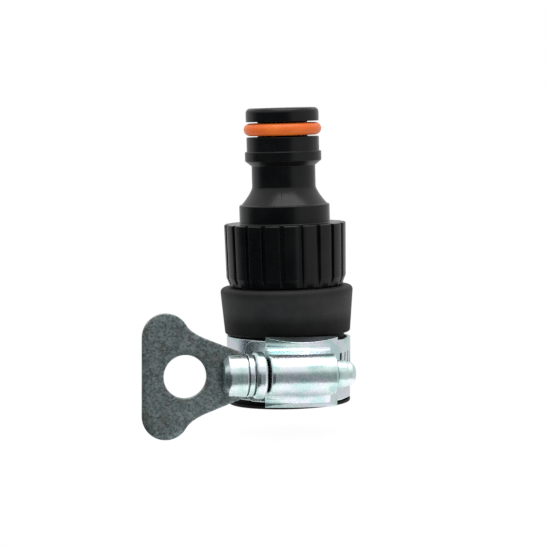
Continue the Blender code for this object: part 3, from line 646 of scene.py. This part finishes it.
def housing_layer(plate, half, shoulder, tunnel, ends, rounds, fillet):
    """One face of the pressing, rows along the screw and columns up the clamp. The plate is
    (r sin t, r cos t), where r falls by slope * rise, gently by the tunnel and steeply over the
    shoulders. The tunnel is an arch on concave fillets. Its radius shrinks by round * (1 - sin q)
    at round * (1 - cos q) from its ends. Its left end reaches past the plate's edge, where the
    plate's own rows lie a small gap apart."""
    length = plate * math.sin(PLATE_ANGLE)
    inner = ends[0] + rounds[0], ends[1] - rounds[1]
    middle = np.linspace(*inner, TUNNEL_ROWS)
    middle[[0, -1]] += np.array([MIDDLE_INSET, -MIDDLE_INSET])
    lean = DRAFT * (1 - climb)
    station = np.concatenate([
        [ends[0] - DRAFT - END_GAP], ends[0] - lean, inner[0] - rounds[0] * sink[1:], middle,
        (inner[1] + rounds[1] * sink[1:])[::-1], (ends[1] + lean)[::-1],
        np.linspace(ends[1] + DRAFT, length, PLATE_ROWS + 1)[1:]])[:, None]
    shrink = np.concatenate([
        np.full(1 + len(climb), rounds[0]), rounds[0] * (1 - swell[1:]), np.zeros(TUNNEL_ROWS),
        rounds[1] * (1 - swell[1:])[::-1], np.full(len(climb) + PLATE_ROWS, rounds[1])])[:, None]
    raised = np.concatenate([[0], climb, np.ones(TUNNEL_ROWS + 2 * len(swell[1:])), climb[::-1],
                             np.zeros(PLATE_ROWS)])[:, None]
    radius = tunnel - shrink
    wall = np.array([0.06, 0.5, 0.94])
    turn = quarter / quarter[-1] * FILLET_END
    beside = np.maximum(station, ROW_GAP * np.arange(len(station))[:, None] - length)
    share = np.concatenate([np.ones(len(quarter) + len(wall)), (1 + np.cos(2 * quarter)) / 2])
    station = beside + (station - beside) * share
    base = np.sqrt(plate ** 2 - station ** 2)
    fillet_height = radius + DRAFT + fillet * (1 - np.cos(turn))
    foot = base[:, -1:] + PLATE_SLOPE * (SLOPE_END - fillet_height[:, -1:])
    foot = foot + fillet * math.sin(FILLET_END)
    height = np.concatenate([radius * swell, radius + DRAFT * wall, fillet_height], 1)
    out = np.concatenate([SCREW_OFFSET + radius * sink, SCREW_OFFSET + (foot - SCREW_OFFSET) * wall,
                          foot - fillet * np.sin(turn)], 1)
    out = base + (out - base) * raised
    ease = shoulder * (SHOULDER_ENDS + (SHOULDER_MIDDLE - SHOULDER_ENDS)
                       * (1 - (beside / length) ** 2))
    level = np.array([0.06, 0.3, 0.6, 0.94])
    slope = np.array([0, SHOULDER_START, 0.5, 0.92, 1])
    side = np.array([0.1, 0.9, 1])
    start = half - ease
    level = height[:, -1:] + (start - height[:, -1:]) * level
    edge = np.concatenate([level, start + ease * slope, np.full((len(beside), len(side)), half)], 1)
    low = plate - SHOULDER_SLOPE * ease
    distance = np.concatenate([plate + PLATE_SLOPE * np.maximum(SLOPE_END - level, 0) * raised,
                               plate + (low - plate) * slope,
                               low + (HOUSING_LIP - low) * side], 1)
    height = np.concatenate([height, edge], 1)
    out = np.concatenate([out, distance * base[:, -1:] / plate], 1)
    along = np.concatenate([station, distance * beside / plate], 1)
    half_layer = np.stack([along, -out, height], -1)
    return np.concatenate([half_layer[:, :0:-1] * (1, 1, -1), half_layer], 1)


def drawn_in(points, inset):
    """The grid with its border rows and columns moved towards their neighbours by an inset."""
    points = points.copy()
    for grid in (points, points.swapaxes(0, 1)):
        for edge, beside in ((0, 1), (-1, -2)):
            way = grid[beside] - grid[edge]
            far = np.linalg.norm(way, axis=-1, keepdims=True)
            grid[edge] += way / far * np.minimum(inset, 0.6 * far)
    return points


def settle(piece):
    """Makes a piece's modifiers part of its mesh."""
    bpy.context.view_layer.update()
    graph = bpy.context.evaluated_depsgraph_get()
    made = bpy.data.meshes.new_from_object(piece.evaluated_get(graph))
    piece.modifiers.clear()
    piece.data = made


def cut(piece, tool):
    """Cuts a closed tool out of a piece and removes the tool."""
    step = piece.modifiers.new("cut", "BOOLEAN")
    step.operation = "DIFFERENCE"
    step.solver = "EXACT"
    step.object = tool
    settle(piece)
    bpy.data.objects.remove(tool)


def along_screw(outline, sides):
    """The points of a (radius, station) outline turned about the screw's axis."""
    turns = np.linspace(0, 2 * np.pi, sides, endpoint=False)
    radius, station = outline[:, :1], outline[:, 1:]
    back, up = radius * np.cos(turns) - SCREW_OFFSET, radius * np.sin(turns)
    return in_clamp(np.stack([np.broadcast_to(station, back.shape), back, up], -1))


outer = housing_layer(PLATE_RADIUS, HOUSING_HALF, 1.0, TUNNEL_RADIUS, TUNNEL_ENDS, TUNNEL_ROUNDS,
                      TUNNEL_FILLET)
inner = housing_layer(PLATE_RADIUS - SHEET, HOUSING_HALF - SHEET, 0.35, TUNNEL_RADIUS - SHEET,
                      TUNNEL_ENDS + np.array([SHEET, -SHEET]), (0.3, 0.1), TUNNEL_FILLET + SHEET)
swing = np.linspace(0, np.pi / 2, 4)
depths = HOUSING_EDGE / SHEET * (1 - np.cos(swing))
depths = np.concatenate([depths, 1 - depths[::-1]])
insets = HOUSING_EDGE * (1 - np.sin(swing))
insets = np.concatenate([insets, insets[::-1]])
layers = np.array([drawn_in(outer + (inner - outer) * depth, inset)
                   for depth, inset in zip(depths, insets)])
housing = slotted_strip("clamp_housing_pressing", in_clamp(layers),
                        np.ones((outer.shape[0] - 1, outer.shape[1] - 1), bool))
journal_outline = np.array([(JOURNAL_RADIUS, end) for end in JOURNAL_ENDS])
cut(housing, skin("journal", along_screw(journal_outline, 64), ends=True))
housing.data.set_sharp_from_angle(angle=SHARP_EDGE)


def clamp_spots(piece):
    """The vertices of a piece in mm along the screw, back from its axis and up the clamp's axis."""
    spots = np.empty(len(piece.data.vertices) * 3)
    piece.data.vertices.foreach_get("co", spots)
    turned_back = np.stack([clamp_right, clamp_back, clamp_up]).T
    return (spots.reshape(-1, 3) / MM - clamp_centre) @ turned_back + (0, SCREW_OFFSET, 0)


def darken(piece, painted_shade):
    """Tells the zinc plate how much painted shade each vertex gets."""
    piece.data.attributes.new("painted_shade", "FLOAT", "POINT").data.foreach_set("value", painted_shade)


# The upper shoulder lies under the sleeve's edge, and the tunnel's left end close to the screw's
# flange. Both get painted shade: on the shoulder it stands in for the dark sleeve mirrored there, and
# on the end wall for the shade beside the flange.
spots = clamp_spots(housing)
half_length = PLATE_RADIUS * math.sin(PLATE_ANGLE)
ease = SHOULDER_ENDS + (SHOULDER_MIDDLE - SHOULDER_ENDS) * (1 - (spots[:, 0] / half_length) ** 2)
shoulder = np.clip((spots[:, 2] - HOUSING_HALF + ease) / (SHOULDER_START * ease), 0, 1)
end_wall = np.clip((TUNNEL_ENDS[0] + 0.02 - spots[:, 0]) / 0.01, 0, 1)
darken(housing, np.maximum(shoulder, end_wall))
dress(housing, bright_zinc, "clamp", "clamp_housing")


# Worm screw. Turned and zinc plated: a slotted head with a ring and a flange, a neck, the worm under
# the tunnel, and a tip with a domed end.
WORM_PITCH = 2.4
WORM_ENDS = (-7.45, 4.95)
WORM_RADIUS = 3.35
WORM_DEPTH = 0.7
CORE_RADIUS = 2.6
HEAD_END = -18.0
HEAD_RADIUS = 4.5
HEAD_BEVEL = 1.1
HEAD_GROOVES = (-13.1, -12.8, -11.75, -11.45)
GROOVE_CORE = 4.15
SCREW_FLANGE = (5.0, -9.1)
TIP = ((3.0, 6.3, 0.15), (2.8, 8.3, 0.15), (2.6, 8.5, 0.1), (2.5, 9.6, 0.6), (1.5, 10.45, 0.9))
TIP_END = 10.55
AXIS_HOLE = 0.02
SLOT_DEPTH = 4.4
SLOT_WIDTH = 1.8
SLOT_REACH_UP = 6.0
SCREW_SIDES = 96
SCREW_SHARP = math.radians(40)
# How much painted shade the head's grooves get.
GROOVE_SHADE = 0.8

grooves = [(radius, station, rounding) for before, after in (HEAD_GROOVES[:2], HEAD_GROOVES[2:])
           for radius, station, rounding in (
               (HEAD_RADIUS, before, 0.12), (GROOVE_CORE, before, 0.06),
               (GROOVE_CORE, after, 0.06), (HEAD_RADIUS, after, 0.12))][:-1]
screw_outline = np.array([
    (AXIS_HOLE, HEAD_END, 0.005), (HEAD_RADIUS - HEAD_BEVEL, HEAD_END, 0.3),
    (HEAD_RADIUS, HEAD_END + HEAD_BEVEL, 0.5), *grooves, (SCREW_FLANGE[0], HEAD_GROOVES[3], 0.8),
    (*SCREW_FLANGE, 0.6), (CORE_RADIUS, SCREW_FLANGE[1], 0.1), (CORE_RADIUS, WORM_ENDS[0], 0.1),
    (WORM_RADIUS, WORM_ENDS[0], 0.1), (WORM_RADIUS, WORM_ENDS[1], 0.1),
    (CORE_RADIUS, WORM_ENDS[1], 0.1), (CORE_RADIUS, TIP[0][1], 0.1), *TIP,
    (AXIS_HOLE, TIP_END, 0.005)])
screw_outline = resampled(braced(rounded(screw_outline, 4)), WORM_PITCH / 10)
screw_points = along_screw(screw_outline, SCREW_SIDES)
turns = np.linspace(0, 2 * np.pi, SCREW_SIDES, endpoint=False)
on_worm = np.abs(screw_outline[:, :1] - WORM_RADIUS) < 0.01
on_worm = on_worm * faded(screw_outline[:, 1], *WORM_ENDS, WORM_PITCH / 2)
sunk = WORM_DEPTH * on_worm * thread(screw_outline[:, 1], turns, WORM_PITCH) / WORM_RADIUS
axis_points = in_clamp(np.stack([screw_outline[:, 1], np.full(len(screw_outline), -SCREW_OFFSET),
                                 np.zeros(len(screw_outline))], -1))[:, None]
screw_points = axis_points + (screw_points - axis_points) * (1 - sunk[..., None])
last = np.argmax(screw_outline[:, 1] > TIP_END - 0.01)
screw = skin("worm_screw_turning", screw_points[:last + 1], ends=True)
slot_box = np.array([(x, y, z) for x in (HEAD_END - 1, HEAD_END + SLOT_DEPTH)
                     for y, z in ((-1, -1), (1, -1), (1, 1), (-1, 1))], float)
slot_box[:, 1] = slot_box[:, 1] * SLOT_WIDTH / 2 - SCREW_OFFSET
slot_box[:, 2] *= SLOT_REACH_UP
cut(screw, skin("slot", in_clamp(slot_box).reshape(2, 4, 3), ends=True))
screw.data.set_sharp_from_angle(angle=SCREW_SHARP)

# Painted shade in the head's two grooves and on the neck behind the flange.
spots = clamp_spots(screw)
far = np.linalg.norm(spots[:, 1:], axis=1)
in_groove = ((far < GROOVE_CORE + 0.15) & (spots[:, 0] > HEAD_GROOVES[0] - 0.1)
             & (spots[:, 0] < HEAD_GROOVES[3] + 0.15))
on_neck = ((far < SCREW_FLANGE[0] - 0.8) & (spots[:, 0] > SCREW_FLANGE[1] - 0.1)
           & (spots[:, 0] < WORM_ENDS[0]))
darken(screw, np.maximum(GROOVE_SHADE * in_groove, on_neck))
dress(screw, bright_zinc, "screw", "worm_screw")


# Thumb key. Stamped from 1.2 mm steel and tumble plated with zinc, so that its edges are soft and
# its faces speckled. Its tongue is fixed in the head's slot.
KEY_THICKNESS = 1.2
KEY_REACH = 16.95
KEY_TONGUE = 4.1
KEY_HALF = 13.24
KEY_CORNER = 5.0
KEY_SWEEP = math.radians(30)
NECK_HALF = 6.47
NECK_LENGTH = 2.85
NECK_SLOPE = 0.39
KEY_HOLE_RADIUS = 4.53
KEY_HOLE_PLACE = 7.9
KEY_EDGE = 0.2
SIDE_POINTS = 12

corner_middle = np.array([HEAD_END - KEY_REACH + KEY_CORNER, KEY_HALF - KEY_CORNER])
turns = np.linspace(np.pi, KEY_SWEEP, 32)
key_corner = corner_middle + KEY_CORNER * np.stack([np.cos(turns), np.sin(turns)], 1)
neck = np.array([HEAD_END - NECK_LENGTH, NECK_HALF + NECK_SLOPE * NECK_LENGTH])
leave = np.array([math.sin(KEY_SWEEP), -math.cos(KEY_SWEEP)])
arrive = np.array([1.0, -NECK_SLOPE])
gap = neck - key_corner[-1]
reach = (gap[0] * arrive[1] - gap[1] * arrive[0]) / (leave[0] * arrive[1] - leave[1] * arrive[0])
meet = key_corner[-1] + leave * reach
share = np.linspace(0, 1, 18)[1:-1, None]
shoulder = key_corner[-1] * (1 - share) ** 2 + 2 * meet * share * (1 - share) + neck * share ** 2
tongue = np.array([[HEAD_END + KEY_TONGUE, NECK_HALF - NECK_SLOPE * KEY_TONGUE]])
share = np.linspace(0, 1, 12)[:, None]
upper = np.concatenate([key_corner, shoulder, neck + (tongue - neck) * share])
edge_rise = np.linspace(-1, 1, SIDE_POINTS + 2)[1:-1, None]
left = np.concatenate([np.full((SIDE_POINTS, 1), HEAD_END - KEY_REACH),
                       corner_middle[1] * edge_rise], 1)
right = np.concatenate([np.full((SIDE_POINTS, 1), tongue[0, 0]), -tongue[0, 1] * edge_rise], 1)
key_outline = np.concatenate([upper, right, (upper * (1, -1))[::-1], left])

# The section across the plate, from the hole's wall over the face, the outer edge and the back.
ahead = np.roll(key_outline, -1, 0) - np.roll(key_outline, 1, 0)
outward_way = np.stack([-ahead[:, 1], ahead[:, 0]], 1) / np.linalg.norm(ahead, axis=1, keepdims=True)
hole_middle = np.array([HEAD_END - KEY_HOLE_PLACE, 0.0])
spoke = key_outline - hole_middle
spoke /= np.linalg.norm(spoke, axis=1, keepdims=True)
hole = hole_middle + spoke * KEY_HOLE_RADIUS
half = KEY_THICKNESS / 2
swing = np.linspace(-np.pi / 2, np.pi / 2, 7)
round_in = KEY_EDGE * (1 - np.cos(swing))
round_up = np.sign(swing) * (half - KEY_EDGE) + KEY_EDGE * np.sin(swing)
outer = key_outline[None] - outward_way[None] * round_in[:, None, None]
inner = (hole[None] + spoke[None] * round_in[:, None, None])[::-1]
face = np.linspace(0, 1, 7)[1:-1, None, None]
front = outer[-1] + (inner[0] - outer[-1]) * face
back = inner[-1] + (outer[0] - inner[-1]) * face
flat_points = np.concatenate([outer, front, inner, back])
depth = np.concatenate([round_up, np.full(len(face), half), round_up[::-1], np.full(len(face), -half)])
depth = np.broadcast_to(depth[:, None], flat_points.shape[:2])
key_points = np.stack([flat_points[..., 0], -SCREW_OFFSET - depth, flat_points[..., 1]], -1)
key = skin("thumb_key_stamping", in_clamp(key_points))

# Tumble plated zinc: dull grey with greenish and bluish clouds of a few millimetres. Each of its
# small crystals is a little lighter or darker than the next.
SPANGLE = 0.4
SPANGLE_SHADES = (0.65, 1.5)

dull_zinc = zinc_plate("tumble plated zinc", ("777B79", "788281", "7D898B", "838A88"),
                       cloud=3.0, pits=0.5, low=0.34, high=0.6)
tree, shader = dull_zinc.node_tree, dull_zinc.node_tree.nodes["Principled BSDF"]
crystals = add(tree, "ShaderNodeTexVoronoi", {
    "Vector": add(tree, "ShaderNodeTexCoord").outputs["Object"], "Scale": 1 / (SPANGLE * MM)})
spangle = add(tree, "ShaderNodeMapRange", {
    "Value": add(tree, "ShaderNodeSeparateColor", {"Color": crystals.outputs["Color"]}).outputs[0],
    "To Min": SPANGLE_SHADES[0], "To Max": SPANGLE_SHADES[1]})
colour = shaded(tree, shader.inputs["Base Color"].links[0].from_socket, spangle.outputs["Result"])
tree.links.new(colour, shader.inputs["Base Color"])
dress(key, dull_zinc, "screw", "thumb_key")


# The studio. A small pale disc lies under the part on a white ground, low enough for the key when the
# clamp is turned round. A dim bluish room lies behind the camera, white screens stand to its sides,
# and a wide soft lamp hangs above.
FLOOR_RADIUS = 38.0
FLOOR_GAP = 2.4
FLOOR_BEVEL = 0.5
FLOOR_DEPTH = 3.0
ROOM_LEFT = (-110, -88)
ROOM_RIGHT = (14, 36)
ROOM_BOTTOM = (-58, -44)
ROOM_TOP = (7, 21)
ROOM_DIM = 0.05
ROOM_TINT = "5FA3AE"
SCREENS = 0.75
SKY_RISE = (16, 30)
SKY_GAIN = 0.35
PLAIN_LIGHT = 0.75
LAMP_SIZE = 0.42
LAMP_PLACE = (0.05, -0.12, 0.5)
LAMP_POWER = 1.6

floor_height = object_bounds()[0].z / MM - FLOOR_GAP
turns = np.linspace(0, 2 * np.pi, 128, endpoint=False)
disc = np.array([(FLOOR_RADIUS - FLOOR_BEVEL, floor_height),
                 (FLOOR_RADIUS, floor_height - FLOOR_BEVEL),
                 (FLOOR_RADIUS, floor_height - FLOOR_DEPTH)])
floor = skin("floor", turned(disc, turns), ends=True)


def mirrored(tree, path):
    """1 for a ray that a surface mirrors or bends, and 0 for any other."""
    return add(tree, "ShaderNodeMath", {
        0: path.outputs["Is Glossy Ray"], 1: path.outputs["Is Transmission Ray"]},
        operation="MAXIMUM").outputs[0]


def glowing(tree, colour, glow):
    """A matt surface that also glows."""
    matt = add(tree, "ShaderNodeBsdfDiffuse", {"Color": linear(colour)})
    light = add(tree, "ShaderNodeEmission", {"Color": (1, 1, 1, 1), "Strength": glow})
    return add(tree, "ShaderNodeAddShader", {0: matt.outputs[0], 1: light.outputs[0]}).outputs[0]


# Matt white card. The camera sees it white but for the part's shadow, and mirrors see it pale.
card = bpy.data.materials.new("matt white card")
card.use_nodes = True
tree = card.node_tree
tree.nodes.clear()
path = add(tree, "ShaderNodeLightPath")
unseen = add(tree, "ShaderNodeMixShader", {
    0: mirrored(tree, path), 1: glowing(tree, "E8E8E8", 0.0), 2: glowing(tree, "E0E0E0", 0.5)})
both = add(tree, "ShaderNodeMixShader", {
    0: path.outputs["Is Camera Ray"], 1: unseen.outputs[0], 2: glowing(tree, "505050", 0.96)})
add(tree, "ShaderNodeOutputMaterial", {"Surface": both.outputs[0]})
floor.data.materials.append(card)

# The world around it: the room, the screens and the brighter sky for mirrors, an even light for
# matt surfaces, and white for the camera.
world = bpy.data.worlds.new("studio")
bpy.context.scene.world = world
world.use_nodes = True
tree = world.node_tree
tree.nodes.clear()
way = add(tree, "ShaderNodeSeparateXYZ", {
    0: add(tree, "ShaderNodeTexCoord").outputs["Generated"]})
front_way = add(tree, "ShaderNodeMath", {0: way.outputs["Y"], 1: -1.0}, operation="MULTIPLY")
azimuth = add(tree, "ShaderNodeMath", {0: way.outputs["X"], 1: front_way.outputs[0]},
              operation="ARCTAN2").outputs[0]
rise = add(tree, "ShaderNodeMath", {0: way.outputs["Z"]}, operation="ARCSINE").outputs[0]


def step(value, start, end, low=0.0, high=1.0):
    """A smooth step of an angle between two angles in degrees."""
    return add(tree, "ShaderNodeMapRange", {
        "Value": value, "From Min": math.radians(start), "From Max": math.radians(end),
        "To Min": low, "To Max": high}, interpolation_type="SMOOTHSTEP").outputs["Result"]


room = times(tree,
             times(tree, step(azimuth, *ROOM_LEFT), step(azimuth, *ROOM_RIGHT, 1.0, 0.0)),
             times(tree, step(rise, *ROOM_BOTTOM), step(rise, *ROOM_TOP, 1.0, 0.0)))
bright = step(rise, *SKY_RISE, SCREENS, SCREENS + SKY_GAIN)
screens = add(tree, "ShaderNodeMapRange", {"Value": room, "To Min": bright, "To Max": ROOM_DIM})
path = add(tree, "ShaderNodeLightPath")
in_mirror = mirrored(tree, path)
level = add(tree, "ShaderNodeMix", {"Factor": in_mirror, "A": PLAIN_LIGHT, "B": screens.outputs[0]})
level = add(tree, "ShaderNodeMix", {"Factor": path.outputs["Is Camera Ray"],
                                    "A": level.outputs["Result"], "B": 1.0})

# Sockets 0, 6, 7 and 2 of a colour mix are its factor, its two colours and its result.
tint = add(tree, "ShaderNodeMix", {0: times(tree, room, in_mirror), 6: (1, 1, 1, 1),
                                   7: linear(ROOM_TINT)}, data_type="RGBA")
sky = add(tree, "ShaderNodeBackground", {"Color": tint.outputs[2], "Strength": level.outputs["Result"]})
add(tree, "ShaderNodeOutputWorld", {"Surface": sky.outputs[0]})

lamp = bpy.data.objects.new("top_softbox", bpy.data.lights.new("top_softbox", "AREA"))
lamp.data.size = LAMP_SIZE
lamp.data.energy = LAMP_POWER
lamp.location = LAMP_PLACE
lamp.rotation_euler = (math.atan2(LAMP_PLACE[1], LAMP_PLACE[2]), 0, 0)
bpy.context.collection.objects.link(lamp)

bpy.context.scene.view_settings.view_transform = "Standard"
